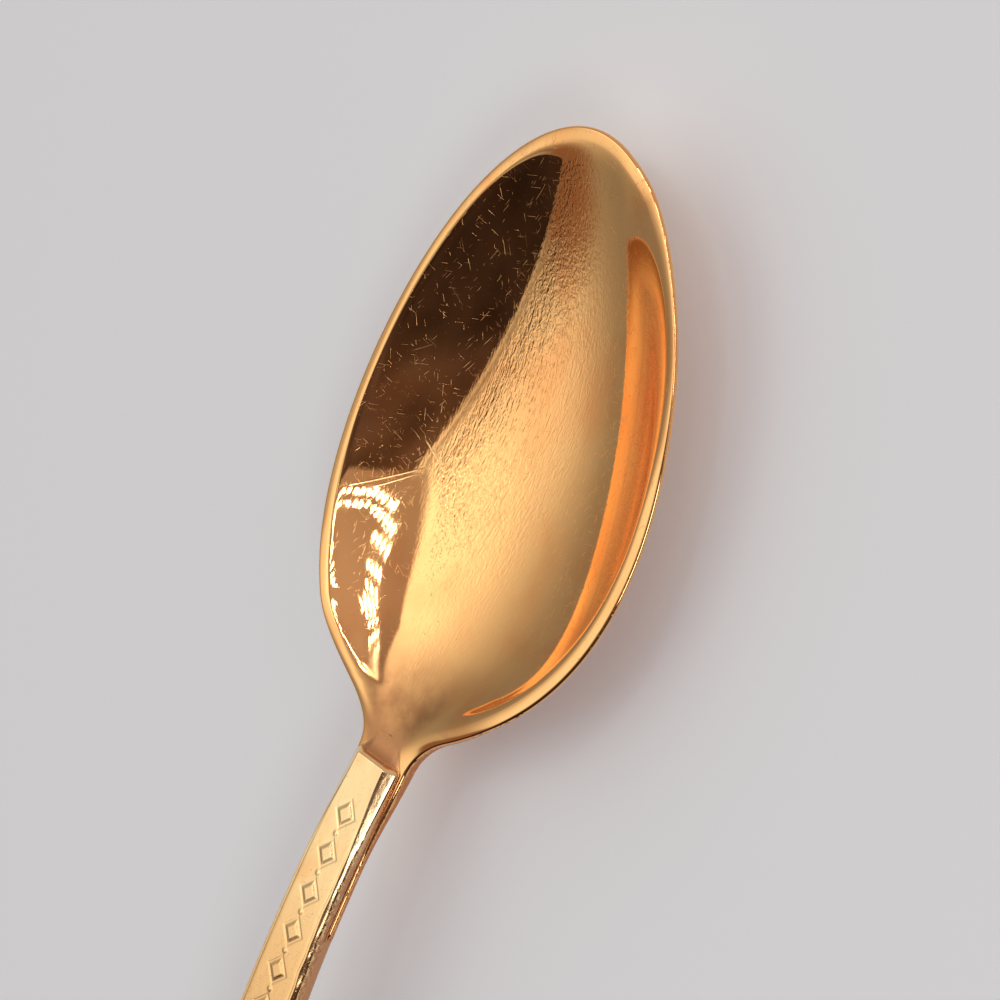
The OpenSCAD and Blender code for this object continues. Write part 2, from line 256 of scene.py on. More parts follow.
def skin(name, half_lines, other_lines, measures):
    """A closed smooth mesh over the half lines of one side and those of the other, given mirrored.

    Each half line starts and ends on the middle plane, and the last one lies on it all the way.
    The measures are named values for each point of a line, which the materials use.
    """
    half = np.asarray(half_lines, float)
    other = np.asarray(other_lines, float)
    rows, width = half.shape[:2]
    first = np.arange(rows * width).reshape(rows, width)
    second = first.copy()
    second[:-1, 1:-1] = rows * width + np.arange((rows - 1) * (width - 2)).reshape(rows - 1, width - 2)
    mirrored = other[:-1, 1:-1].reshape(-1, 3) * [1, -1, 1]
    a, b, c, d = first[:-1, :-1], first[1:, :-1], first[1:, 1:], first[:-1, 1:]
    faces = np.stack([d, c, b, a], -1).reshape(-1, 4).tolist()
    a, b, c, d = second[:-1, :-1], second[1:, :-1], second[1:, 1:], second[:-1, 1:]
    faces += np.stack([a, b, c, d], -1).reshape(-1, 4).tolist()
    faces.append((first[0].tolist() + second[0, -2:0:-1].tolist())[::-1])
    piece = add_mesh(name, np.concatenate([half.reshape(-1, 3), mirrored]), faces)
    smooth = [True] * (len(faces) - 1) + [False]
    piece.data.polygons.foreach_set("use_smooth", smooth)
    for measure, depth in measures.items():
        values = np.concatenate([depth.ravel(), depth[:-1, 1:-1].ravel()])
        piece.data.attributes.new(measure, "FLOAT", "POINT").data.foreach_set("value", values)
    return piece


# Rows of the bowl's mesh, and how softly its wall rolls over into the land, in millimetres and shares
TONGUE_ROWS, SHOULDER_ROWS, BOWL_ROWS, TIP_ROWS = 30, 60, 90, 60
ACROSS_ROWS, LAND_ROWS, CORNER_ROWS, WALL_ROWS = 56, 14, 6, 10
RIM_SOFT, SIDE_ROLL, END_ROLL, SHOULDER_ROLL = 0.07, 0.3, 0.75, 0.9
RIGHT_ROLL, LEFT_ROLL = 2.2, 0.6
RIGHT_SHOULDER_X, LEFT_SHOULDER_X = 32.2, 35.5
TIP_ROLL_LEAD, TIP_ROLL_SHARE, END_ROLL_REACH, END_ROLL_BLEND = 2.0, 0.28, 2.5, 2.0
ROLL_SHARE, LAND_CROWN, TIP_TILT, TIP_REACH = 0.8, 0.07, 0.1, 9.0
SPINE_GAP = 6.0
SPINE_END_X = FLOOR_TIP_X - SPINE_GAP

# The measure that the materials read on the back of a piece, past every mark on its sides
FAR_DOWN = 9.0


def roll_depth(spine_x, rim_x, tip_roll, shoulder_x):
    """Depth over which the wall rolls over, larger beside the tip and at the shoulders."""
    beside_tip = ease((rim_x - DEEPEST_X + TIP_ROLL_LEAD) / (BOWL_LENGTH * TIP_ROLL_SHARE))
    at_end = ease((rim_x - TIP_X + END_ROLL_REACH) / END_ROLL_BLEND)
    shoulder = ease((shoulder_x - rim_x) / SHOULDER_REACH)
    roll = SIDE_ROLL + (mix(tip_roll, END_ROLL, at_end) - SIDE_ROLL) * beside_tip
    roll += (SHOULDER_ROLL - SIDE_ROLL) * shoulder
    return max(min(roll, ROLL_SHARE * float(rim_level(spine_x) - floor_level(spine_x))), SLOPE_STEP)


def bowl_line(spine_x, inner, outer, rolls):
    """One line of the bowl, from the middle of the hollow over the rim to the middle of the back."""
    out = (outer - inner) / np.linalg.norm(outer - inner)
    back = outside(np.array(inner[0]), np.array(inner[1]))
    upright = float(1 - ease((outer[0] - NOSE_X) / EDGE_REACH))
    t = np.linspace(0, 1, ACROSS_ROWS + 1)
    px, py = mix(spine_x, inner[0], t), inner[1] * t
    wall = hollow(px, py)
    # The wall is carried on past its edge, so that it can roll over softly into the land
    slope = (wall[-1] - wall[-2]) / np.hypot(px[-1] - px[-2], py[-1] - py[-2])
    land = mix(inner, outer - out * RIM_ROUND, np.linspace(0, 1, LAND_ROWS + 1)[1:, None])
    wall = np.concatenate([wall, wall[-1] + slope * np.linalg.norm(land - inner, axis=1)])
    top = np.concatenate([np.column_stack([px, py]), land])
    top_z = soft_min(wall, rim_level(top[:, 0]), roll_depth(spine_x, outer[0], *rolls))
    over = np.linspace(0, 1, LAND_ROWS + 1)[1:]
    near_tip = float(ease((outer[0] - TIP_X + TIP_REACH) / TIP_REACH))
    top_z[ACROSS_ROWS + 1:] -= LAND_CROWN * over**2 + TIP_TILT * near_tip * over
    turn = np.linspace(0, math.pi / 2, CORNER_ROWS + 1)[1:]
    corner = outer - out * RIM_ROUND * (1 - np.sin(turn))[:, None]
    corner_z = top_z[-1] - RIM_ROUND * (1 - np.cos(turn))
    # The outer side is slanted round the bowl, and upright with a rounded foot along the tongue
    edge_top = np.array([outer[0], outer[1], corner_z[-1]])
    slanted = mix(edge_top, back, np.linspace(0, 1, WALL_ROWS + 1)[1:-1, None])
    bend = np.linspace(0, math.pi / 2, WALL_ROWS - 1)
    low = outer - out * EDGE_ROUND * (1 - np.cos(bend))[:, None]
    low = np.column_stack([low, back[2] + EDGE_ROUND * (1 - np.sin(bend))])
    line = np.concatenate([
        np.column_stack([top, top_z]),
        np.column_stack([corner, corner_z]),
        mix(slanted, low, upright),
        outside(px[::-1], py[::-1]),
    ])
    return soften(line, np.full(len(line), RIM_SOFT))


def land_shift(x):
    """How far along the spoon the land's inner edge lies from a place on its outer edge."""
    return -RIM_LAND * np.cos(egg_angle(x, 0)) * ease((x - EGG_X - FLARE_START) / SHOULDER_REACH)


def bowl_down(lines):
    """How far each point lies below the land, on the outer side of the rim."""
    lines = np.asarray(lines)
    first, last = ACROSS_ROWS + LAND_ROWS + 1, -ACROSS_ROWS - 1
    down = np.zeros(lines.shape[:2])
    down[:, first:] = lines[:, first - 1, 2, None] - lines[:, first:, 2]
    down[:, last:] = FAR_DOWN
    return down


def bowl_sunk(lines):
    """How far each point of the hollow lies below the land."""
    lines = np.asarray(lines)
    last = ACROSS_ROWS + LAND_ROWS
    sunk = np.zeros(lines.shape[:2])
    sunk[:, :last] = lines[:, last, 2, None] - lines[:, :last, 2]
    return sunk


def bowl_side(rolls):
    """The lines of one side of the bowl, from the end of the tongue to the tip."""
    fan_x = float(egg_place(FAN_ANGLE, 0))
    places = np.concatenate([
        np.linspace(LAP_X, BEAD_X, TONGUE_ROWS, endpoint=False),
        np.linspace(BEAD_X, SHOULDER_X, SHOULDER_ROWS, endpoint=False),
        np.linspace(SHOULDER_X, fan_x, BOWL_ROWS, endpoint=False),
    ])
    lines = []
    for x in places:
        in_x = float(x + land_shift(x))
        inner = np.array([in_x, -float(outline_half(in_x, RIM_LAND))])
        outer = np.array([x, -float(outline_half(x, 0))])
        lines.append(bowl_line(in_x, inner, outer, rolls))
    first_spine = float(egg_place(FAN_ANGLE, RIM_LAND))
    for i in range(TIP_ROWS + 1):
        t = i / TIP_ROWS
        angle = FAN_ANGLE * (1 - t)
        inner = np.array([egg_place(angle, RIM_LAND), -egg_half(angle, RIM_LAND)])
        outer = np.array([egg_place(angle, 0), -egg_half(angle, 0)])
        lines.append(bowl_line(mix(first_spine, SPINE_END_X, t), inner, outer, rolls))
    return lines


def make_bowl():
    right = bowl_side((RIGHT_ROLL, RIGHT_SHOULDER_X))
    left = bowl_side((LEFT_ROLL, LEFT_SHOULDER_X))
    return skin("bowl_shell", right, left, {"down": bowl_down(right), "sunk": bowl_sunk(right)})


# Rows of the handle's mesh, its worn edges and its row of ornaments
TOP_ROWS, BEVEL_ROWS, SIDE_ROWS, ROUND_ROWS, UNDER_ROWS = 36, 6, 12, 6, 8
NOSE_ROWS, FINE_PITCH, STEM_ROWS, END_ROWS = 8, 0.06, 90, 40
NOSE_SOFT, WORN_SOFT, WEAR_START, WEAR_LENGTH = 0.07, 0.2, 4.0, 6.0
WEAR_SHARE, WEAR_PITCH, WEAR_SEED = 0.45, 1.7, 3.5
GROUND_LENGTH, GROUND_WIDTH, GROUND_DROP = 9.0, 0.85, 0.72
ORNAMENT_FIRST, ORNAMENT_PITCH, ORNAMENT_COUNT = 4.6, 3.3, 11
ORNAMENT_LONG, ORNAMENT_WIDE, ORNAMENT_RELIEF = 1.2, 1.05, 0.075
LOZENGE_EDGE, LOZENGE_FALL, GROOVE_PLACE, GROOVE_HALF, GROOVE_SHARE = 0.45, 0.35, 0.95, 0.25, 0.5
STUD_RADIUS, STUD_SHARE = 0.33, 0.9
REBATE_END = LAP_LENGTH + BRAZE_FILM


def handle_line(spine_x, outer, top, bevel_z, under, low_round, back, wear):
    """One line of the handle, from the middle of its top over the edge to the middle of its back."""
    worn = float(ease((back - WEAR_START) / WEAR_LENGTH))
    middle = np.array([spine_x, 0.0])
    out = (outer - middle) / np.linalg.norm(outer - middle)
    ground = 1 - float(ease(back / GROUND_LENGTH))
    bevel_width = mix(BEVEL_WIDTH, GROUND_WIDTH, ground)
    bevel_z -= (GROUND_DROP - BEVEL_DROP) * ground
    flat = outer - out * bevel_width * (1 + wear * worn * wobble(back, WEAR_PITCH, WEAR_SEED))
    a = np.array([spine_x, 0, top])
    b = np.array([*flat, top])
    c = np.array([*outer, bevel_z])
    bend = np.linspace(0, math.pi / 2, ROUND_ROWS)
    low = outer - out * low_round * (1 - np.cos(bend))[:, None]
    low = np.column_stack([low, under + low_round * (1 - np.sin(bend))])
    end = np.array([spine_x, 0, under])
    line = np.concatenate([
        mix(a, b, np.linspace(0, 1, TOP_ROWS + 1)[:, None]),
        mix(b, c, np.linspace(0, 1, BEVEL_ROWS + 1)[1:, None]),
        mix(c, low[0], np.linspace(0, 1, SIDE_ROWS + 1)[1:-1, None]),
        low,
        mix(low[-1], end, np.linspace(0, 1, UNDER_ROWS + 1)[1:, None]),
    ])
    return soften(line, np.full(len(line), mix(NOSE_SOFT, WORN_SOFT, worn)))


def stem_line(s, wear):
    x = NOSE_X - s
    in_lap = s <= REBATE_END
    under = float(lap_level(x) + BRAZE_FILM if in_lap else handle_under(s))
    top = float(top_level(s))
    low_round = SEAM_ROUND if in_lap else EDGE_ROUND
    outer = np.array([x, float(handle_half(s))])
    return handle_line(x, outer, top, top - BEVEL_DROP, under, low_round, s, wear)


def nose_line(a, wear):
    """A line of the rounded nose, from its front at the angle 0 to the straight stem at a right angle."""
    s = NOSE_ROUND * (1 - math.cos(a))
    x = NOSE_X - s
    half = float(handle_half(s)) - NOSE_CORNER * (1 - math.sin(a))
    top = float(top_level(s))
    under = float(lap_level(x)) + BRAZE_FILM
    rounded = top - NOSE_ROUND * (1 - math.sin(a))
    return handle_line(x, np.array([x, half]), rounded, top - BEVEL_DROP, under, SEAM_ROUND, s, wear)


def end_line(t, wear):
    """A line of the rounded end, from its start at t = 0 to the middle plane at t = 1."""
    a = math.pi / 2 * (1 - t)
    start_x = END_X + END_ROUND
    outer = np.array([start_x - END_ROUND * math.cos(a), math.sin(a) * END_WIDTH / 2])
    spine_x = start_x - END_ROUND / 2 * t
    top = float(top_level(NOSE_X - outer[0]))
    return handle_line(
        spine_x, outer, top, top - BEVEL_DROP, top - END_THICKNESS, EDGE_ROUND, NOSE_X - outer[0], wear
    )


def ornament(s, y):
    """Relief of the row: raised lozenges in shallow grooves, with a round stud between each two."""
    n = np.clip(np.round((s - ORNAMENT_FIRST) / ORNAMENT_PITCH), 0, ORNAMENT_COUNT - 1)
    from_middle = s - ORNAMENT_FIRST - n * ORNAMENT_PITCH
    ring = np.abs(from_middle) / ORNAMENT_LONG + np.abs(y) / ORNAMENT_WIDE
    lozenge = 1 - ease((ring - LOZENGE_EDGE) / LOZENGE_FALL)
    groove = 1 - ease(np.abs(ring - GROOVE_PLACE) / GROOVE_HALF)
    m = np.clip(np.floor((s - ORNAMENT_FIRST) / ORNAMENT_PITCH), 0, ORNAMENT_COUNT - 2)
    from_stud = s - ORNAMENT_FIRST - (m + 0.5) * ORNAMENT_PITCH
    stud = 1 - ease(np.hypot(from_stud, y) / STUD_RADIUS)
    return ORNAMENT_RELIEF * (np.maximum(lozenge, STUD_SHARE * stud) - GROOVE_SHARE * groove)


def handle_down(lines):
    """How far each point lies below the handle's top, down its side."""
    lines = np.asarray(lines)
    down = lines[:, TOP_ROWS, 2, None] - lines[..., 2]
    down[:, : TOP_ROWS + 1] = 0
    down[:, -UNDER_ROWS:] = FAR_DOWN
    return down


def handle_side(wear):
    """The lines of one side of the handle, from nose to end, and how far each point lies below the top."""
    fan_start = HANDLE_LENGTH - END_ROUND
    fine_end = ORNAMENT_FIRST + ORNAMENT_PITCH * ORNAMENT_COUNT
    rebate_back = REBATE_END + WEDGE_LENGTH
    lines = [nose_line(math.pi / 2 * i / NOSE_ROWS, wear) for i in range(NOSE_ROWS)]
    places = np.concatenate([
        np.linspace(NOSE_ROUND, REBATE_END, round((REBATE_END - NOSE_ROUND) / FINE_PITCH)),
        np.arange(rebate_back, fine_end, FINE_PITCH),
        np.linspace(fine_end, fan_start, STEM_ROWS),
    ])
    lines += [stem_line(float(s), wear) for s in places]
    lines += [end_line((i + 1) / END_ROWS, wear) for i in range(END_ROWS)]
    lines = np.array(lines)
    down = handle_down(lines)
    top = lines[:, : TOP_ROWS + 1]
    back = NOSE_X - top[..., 0]
    sunk = ease(back / ORNAMENT_FIRST) * (1 - ease((back - fine_end) / ORNAMENT_FIRST))
    top[..., 2] += ornament(back, top[..., 1]) - ORNAMENT_RELIEF * sunk
    return lines, down


def make_handle():
    left, down = handle_side(0.0)
    right, _ = handle_side(WEAR_SHARE)
    return skin("handle_bar", left, right, {"down": down})


# Rows of the braze's mesh, and the fillet in front of the nose, which fades towards its corners
BRAZE_ROWS, BEAD_ROWS, BEAD_FADE, FADE_WIDTH, FILLET_LENGTH = 48, 20, 0.94, 1.3, 1.9


def braze_ring(side):
    """The seam's outline at a share of its half width: the fillet, the film, the wall behind the tongue."""
    nose_half = float(handle_half(0))
    y = side * nose_half
    past_corner = clamp(1 - (nose_half - abs(y)) / NOSE_CORNER)
    front_x = NOSE_X - NOSE_ROUND * (1 - math.sqrt(1 - past_corner**2))
    size = 1 - BEAD_FADE * float(ease(1 - (nose_half - abs(y)) / FADE_WIDTH))
    t = np.linspace(0, 1, BEAD_ROWS + 1)
    bead_x = front_x + FILLET_LENGTH * size * (1 - t)
    bead = np.column_stack([bead_x, np.full_like(t, y), hollow(bead_x, y) + BEAD_HEIGHT * size * t**3])

    def across(x):
        return side * (float(handle_half(NOSE_X - x)) - FILM_INSET)

    def lower(x, back):
        bent = clamp(1 - (1 - abs(side)) * float(handle_half(back)) / EDGE_ROUND)
        return [x, across(x), float(handle_under(back)) + EDGE_ROUND * (1 - math.sqrt(1 - bent**2))]

    film_end = NOSE_X - REBATE_END
    wall_end = film_end - WEDGE_LENGTH
    rest = np.array([
        [front_x, across(front_x), float(lap_level(front_x)) + BRAZE_FILM],
        [film_end, across(film_end), float(lap_level(film_end)) + BRAZE_FILM],
        lower(wall_end, REBATE_END + WEDGE_LENGTH),
        lower(LAP_X, LAP_LENGTH),
        [LAP_X, across(LAP_X), float(lap_level(LAP_X))],
    ])
    return np.concatenate([bead, rest])


def make_braze():
    rings = [braze_ring(mix(-1, 1, j / BRAZE_ROWS)) for j in range(BRAZE_ROWS + 1)]
    count = len(rings[0])
    faces = []
    for j in range(BRAZE_ROWS):
        for k in range(count):
            a, b = j * count + k, j * count + (k + 1) % count
            faces.append((a + count, b + count, b, a))
    faces.append(tuple(range(count)))
    faces.append(tuple(range(BRAZE_ROWS * count, (BRAZE_ROWS + 1) * count))[::-1])
    piece = add_mesh("braze_seam", np.concatenate(rings), faces)
    smooth = [i < BRAZE_ROWS * count and i % count < BEAD_ROWS for i in range(len(faces))]
    piece.data.polygons.foreach_set("use_smooth", smooth)
    return piece


# Node helpers
def connect(tree, socket, value):
    if isinstance(value, bpy.types.NodeSocket):
        tree.links.new(value, socket)
    elif value is not None:
        socket.default_value = value


def add_node(tree, kind, *inputs, **settings):
    """A node with its settings, whose inputs are values or the output sockets of other nodes."""
    made = tree.nodes.new(kind)
    for key, value in settings.items():
        setattr(made, key, value)
    for socket, value in zip(made.inputs, inputs):
        connect(tree, socket, value)
    return made


def math_node(tree, operation, *inputs):
    return add_node(tree, "ShaderNodeMath", *inputs, operation=operation).outputs[0]


def times(tree, first, *others):
    """The product of the given values and sockets."""
    for other in others:
        first = math_node(tree, "MULTIPLY", first, other)
    return first


def stepped(tree, value, low, high, to_low=0.0, to_high=1.0):
    """A value carried from the range low to high, with soft ends, to another range."""
    kind = "SMOOTHSTEP"
    return add_node(
        tree, "ShaderNodeMapRange", value, low, high, to_low, to_high, interpolation_type=kind
    ).outputs[0]


# The sockets of a mix node that blends colours: its share, its two colours and its result
MIX_SHARE, MIX_FIRST, MIX_SECOND, MIX_RESULT = 0, 6, 7, 2


def mixed_color(tree, share, first, second):
    made = add_node(tree, "ShaderNodeMix", data_type="RGBA")
    connect(tree, made.inputs[MIX_SHARE], share)
    connect(tree, made.inputs[MIX_FIRST], first)
    connect(tree, made.inputs[MIX_SECOND], second)
    return made.outputs[MIX_RESULT]


def dot_node(tree, value, direction):
    made = add_node(tree, "ShaderNodeVectorMath", value, tuple(direction), operation="DOT_PRODUCT")
    return made.outputs["Value"]


# Copper colours
COPPER, RED_COPPER, PALE_COPPER = (0.95, 0.53, 0.22, 1), (0.9, 0.42, 0.16, 1), (0.99, 0.74, 0.41, 1)
# The burnt copper colours the torn bands and also paints shade down the handle's sides
BURNT_AND_SHADED_COPPER, TINTED_COPPER = (0.6, 0.28, 0.14, 1), (0.38, 0.18, 0.08, 1)
# The edge copper is a painted reflection on the bowl's outer cut edge
DULL_COPPER, EDGE_REFLECTION_COPPER = (0.56, 0.28, 0.13, 1), (0.98, 0.44, 0.17, 1)

# In the finishes below, a grain is a noise with its length and width in millimetres, and depths are
# millimetres of relief. A tuple of four is a range of a measure and the two values that its ends are given.
SPECK_WARP, SPECK_EDGE = 1.6, 0.06
STREAK_LONG, STREAK_WIDE, STREAK_WARP = 1.3, 0.045, 0.3
STREAK_TURNS, STREAK_SHIFT, STREAK_LEVEL, STREAK_EDGE = (0.5, 1.3, 2.1, 2.9), 9.0, 0.79, 0.07
SCRATCH_WIDTH = 0.07
RAGGED_GRAIN, RAGGED_REACH = dict(long=0.5, wide=0.3, shift=13.0, detail=3.0), (0.2, 0.8, -0.25, 0.25)
TORN_TOP_SOFT, TORN_BOTTOM_SOFT = 0.08, 0.1


class Finish:
    """A polished copper with its wear: colour, gloss and relief built up in layers, in millimetres."""

    def __init__(self, name):
        self.material = bpy.data.materials.new(name)
        self.material.use_nodes = True
        self.tree = self.material.node_tree
        self.shader = self.tree.nodes["Principled BSDF"]
        self.shader.inputs["Metallic"].default_value = 1
        self.place = add_node(self.tree, "ShaderNodeTexCoord").outputs["Object"]
        self.down = self.measure("down")
        self.relief = None

    def measure(self, name):
        """One of the mesh's measures, in millimetres."""
        return add_node(self.tree, "ShaderNodeAttribute", attribute_name=name).outputs["Fac"]

    def along(self, axis):
        """Object coordinate 0, 1 or 2 in millimetres."""
        split = add_node(self.tree, "ShaderNodeSeparateXYZ", self.place)
        return math_node(self.tree, "DIVIDE", split.outputs[axis], MM)

    def stretched(self, long, wide, turn, shift, deep):
        """Coordinates in which one unit is a grain of that length, width and, if given, depth."""
        scale = (1 / (long * MM), 1 / (wide * MM), 1 / ((deep or wide) * MM))
        place = self.place
        if turn:
            place = add_node(
                self.tree, "ShaderNodeVectorRotate", place, None, None, turn, rotation_type="Z_AXIS"
            ).outputs[0]
        return add_node(
            self.tree, "ShaderNodeMapping", place, (shift, shift, shift), None, scale
        ).outputs[0]

    def cloud(self, long, wide, turn=0.0, shift=0.0, detail=2.0, warp=0.0, deep=None):
        """Smooth noise with a grain of that size, from 0 to 1."""
        made = add_node(self.tree, "ShaderNodeTexNoise", self.stretched(long, wide, turn, shift, deep))
        made.inputs["Scale"].default_value = 1
        made.inputs["Detail"].default_value = detail
        made.inputs["Distortion"].default_value = warp
        return made.outputs["Fac"]

    def specks(self, size, level):
        """Sparse ragged spots, from 0 round about to 1 in their middle."""
        return stepped(self.tree, self.cloud(size, size, warp=SPECK_WARP), level, level + SPECK_EDGE)

    def fine_scratches(self, shift):
        """Many short thin streaks in several directions."""
        streaks = None
        for i, turn in enumerate(STREAK_TURNS):
            grain = dict(long=STREAK_LONG, wide=STREAK_WIDE, deep=STREAK_LONG, warp=STREAK_WARP, detail=0.0)
            streak = self.cloud(turn=turn, shift=shift + STREAK_SHIFT * i, **grain)
            streak = stepped(self.tree, streak, STREAK_LEVEL, STREAK_LEVEL + STREAK_EDGE)
            streaks = streak if streaks is None else math_node(self.tree, "MAXIMUM", streaks, streak)
        return streaks

    def scratch(self, start, end):
        """One long thin scratch between two places on the spoon, fading over its first and last third."""
        tree = self.tree
        run = Vector((*end, 0)) - Vector((*start, 0))
        length = run.length
        run.normalize()
        back = tuple(-Vector((*start, 0)) * MM)
        from_start = add_node(tree, "ShaderNodeVectorMath", self.place, back, operation="ADD").outputs[0]
        beside = math_node(tree, "ABSOLUTE", dot_node(tree, from_start, (-run.y, run.x, 0)))
        onward = dot_node(tree, from_start, run)
        near = stepped(tree, beside, 0.0, SCRATCH_WIDTH * MM, 1.0, 0.0)
        begun = stepped(tree, onward, 0.0, length * MM / 3)
        ended = stepped(tree, onward, length * MM * 2 / 3, length * MM, 1.0, 0.0)
        return times(tree, near, times(tree, begun, ended))

    def emboss(self, height, depth):
        """Adds a layer of relief, of that depth in millimetres."""
        made = add_node(self.tree, "ShaderNodeBump")
        made.inputs["Strength"].default_value = 1
        made.inputs["Distance"].default_value = depth * MM
        self.tree.links.new(height, made.inputs["Height"])
        if self.relief is not None:
            self.tree.links.new(self.relief, made.inputs["Normal"])
        self.relief = made.outputs[0]

    def sheared(self, top, bottom):
        """The rough torn band on a cut edge, between two distances down the side, with a ragged border."""
        tree = self.tree
        ragged = stepped(tree, self.cloud(**RAGGED_GRAIN), *RAGGED_REACH)
        down = math_node(tree, "ADD", self.down, ragged)
        below = stepped(tree, down, top - TORN_TOP_SOFT, top + TORN_TOP_SOFT)
        above = stepped(tree, down, bottom - TORN_BOTTOM_SOFT, bottom + TORN_BOTTOM_SOFT, 1.0, 0.0)
        return times(tree, below, above)

    def done(self, color, roughness):
        links = self.tree.links
        links.new(color, self.shader.inputs["Base Color"])
        links.new(roughness, self.shader.inputs["Roughness"])
        links.new(self.relief, self.shader.inputs["Normal"])
        return self.material


# Where the bowl's ripples fade: on the smooth left wall, whose border slants to both ends and steps at its
# middle, on the right wall, towards the neck and the tip, and on the land
BORDER_X, TIP_SLANT, NECK_SLANT, BORDER_STEP = 41.5, 0.22, 0.4, (-3.0, 1.0, 1.0, 0.0)
LEFT_FADE, RIGHT_FADE = (7.6, 8.8, 1.0, 0.06), (-5.6, 3.5, 0.02, 1.0)
NECK_FADE, TIP_FADE, LAND_FADE = (31.0, 44.0, 0.3, 1.0), (56.0, 64.0, 1.0, 0.6), (0.15, 0.9, 0.0, 1.0)

# The brown tint in front of the nose, and the dull metal next to the braze
TINT_LEAD, TINT_END_X, TINT_MIDDLE, TINT_HALF, TINT_SOFT, TINT_FLARE = 3.0, 32.0, 0.4, 1.5, 0.8, 0.5
TINT_GRAIN, TINT_TONES = dict(long=1.2, wide=1.2, shift=19.0, detail=3.0), (0.25, 0.75, 0.75, 1.0)
DULL_START, DULL_END, DULL_TONES = 0.5, 2.6, (0.1, 0.6, 0.0, 1.0)

# The bowl's other layers
RIPPLE_GRAIN, RIPPLE_DEPTH = dict(long=0.9, wide=0.19, detail=1.0, warp=0.6), 0.044
PEEL_GRAIN, PEEL_DEPTH = dict(long=0.36, wide=0.36, shift=7.0, detail=1.0, warp=0.8), 0.02
BOWL_SPECK, BOWL_SPECK_DEPTH = dict(size=0.26, level=0.74), 0.03
BOWL_STREAK_SHIFT, BOWL_STREAK_FADE, BOWL_SCRATCH_DEPTH = 3.0, (31.0, 42.0, 0.1, 1.0), -0.004
SCRATCHES = (
    ((37.6, 13.0), (42.2, 7.3)),
    ((38.4, 11.2), (41.0, 8.4)),
    ((43.6, 9.9), (41.6, 7.0)),
    ((55.5, 11.0), (53.4, 9.2)),
    ((49.0, 12.4), (50.6, 10.6)),
)
BOWL_TORN, BOWL_TORN_LEAD, BOWL_TORN_TAIL = dict(top=0.3, bottom=1.0), 1.0, 3.0
BOWL_TORN_GRAIN, BOWL_TORN_DEPTH = dict(long=0.16, wide=0.16, shift=17.0, detail=3.0), 0.06
BOWL_PATCH_GRAIN, BOWL_PATCH_TONES = dict(long=6.0, wide=4.0, shift=2.0, detail=3.0), (0.42, 0.75, 0.0, 0.8)
# The outer cut edge is rougher, and its orange colour is a painted reflection of a reddish surrounding
CUT_TONES, CUT_FADE = (0.16, 0.34, 0.0, 1.0), (36.0, 48.0, 0.8, 0.0)
BOWL_HAZE_GRAIN, BOWL_HAZE = dict(long=3.0, wide=3.0, shift=5.0, detail=4.0), (0.35, 0.7, 0.02, 0.05)
BOWL_TORN_TONE, BOWL_TORN_ROUGHNESS, BOWL_MARK_ROUGHNESS = 0.7, 0.3, 0.28
TINT_ROUGHNESS, DULL_ROUGHNESS, CUT_ROUGHNESS = 0.12, 0.3, 0.35


def ripple_share(finish):
    """Share of the ripples: full in the middle of the bowl, little on its walls and towards the neck."""
    tree = finish.tree
    past = math_node(tree, "SUBTRACT", finish.along(0), BORDER_X)
    to_tip = times(tree, math_node(tree, "MAXIMUM", past, 0.0), TIP_SLANT)
    to_neck = times(tree, math_node(tree, "MINIMUM", past, 0.0), -NECK_SLANT)
    beyond = math_node(tree, "ADD", finish.along(1), math_node(tree, "ADD", to_tip, to_neck))
    beyond = math_node(tree, "ADD", beyond, stepped(tree, past, *BORDER_STEP))
    left = stepped(tree, beyond, *LEFT_FADE)
    right = stepped(tree, finish.along(1), *RIGHT_FADE)
    neck = stepped(tree, finish.along(0), *NECK_FADE)
    tip = stepped(tree, finish.along(0), *TIP_FADE)
    inside = stepped(tree, finish.measure("sunk"), *LAND_FADE)
    return times(tree, left, right, neck, tip, inside)


def nose_tint(finish):
    """Share of the brown tint in front of the handle's nose."""
    tree = finish.tree
    onward = stepped(tree, finish.along(0), BEAD_X + TINT_LEAD, TINT_END_X, 1.0, 0.0)
    past = times(tree, math_node(tree, "SUBTRACT", finish.along(0), BEAD_X), TINT_FLARE)
    aside = math_node(tree, "SUBTRACT", finish.along(1), TINT_MIDDLE)
    off = math_node(tree, "SUBTRACT", math_node(tree, "ABSOLUTE", aside), past)
    beside = stepped(tree, off, TINT_HALF - TINT_SOFT, TINT_HALF + TINT_SOFT, 1.0, 0.0)
    uneven = stepped(tree, finish.cloud(**TINT_GRAIN), *TINT_TONES)
    return times(tree, uneven, times(tree, onward, beside))


def nose_share(finish):
    """Share of the dull metal next to the braze, in front of the handle's nose."""
    return stepped(finish.tree, finish.along(0), BEAD_X + DULL_START, BEAD_X + DULL_END, 1.0, 0.0)


def bowl_relief(finish):
    """Embosses the bowl, and gives the shares of its scratches, its specks and its torn edge."""
    tree = finish.tree
    rippled = ripple_share(finish)
    finish.emboss(times(tree, finish.cloud(**RIPPLE_GRAIN), rippled), RIPPLE_DEPTH)
    finish.emboss(times(tree, finish.cloud(**PEEL_GRAIN), rippled), PEEL_DEPTH)
    specks = finish.specks(**BOWL_SPECK)
    finish.emboss(specks, BOWL_SPECK_DEPTH)
    scratches = finish.fine_scratches(BOWL_STREAK_SHIFT)
    scratches = times(tree, scratches, stepped(tree, finish.along(0), *BOWL_STREAK_FADE))
    for start, end in SCRATCHES:
        scratches = math_node(tree, "MAXIMUM", scratches, finish.scratch(start, end))
    finish.emboss(scratches, BOWL_SCRATCH_DEPTH)
    torn_end = (SHOULDER_X - BOWL_TORN_LEAD, SHOULDER_X + BOWL_TORN_TAIL)
    near_neck = stepped(tree, finish.along(0), *torn_end, 1.0, 0.0)
    torn = times(tree, finish.sheared(**BOWL_TORN), near_neck)
    finish.emboss(times(tree, torn, finish.cloud(**BOWL_TORN_GRAIN)), BOWL_TORN_DEPTH)
    return scratches, specks, torn


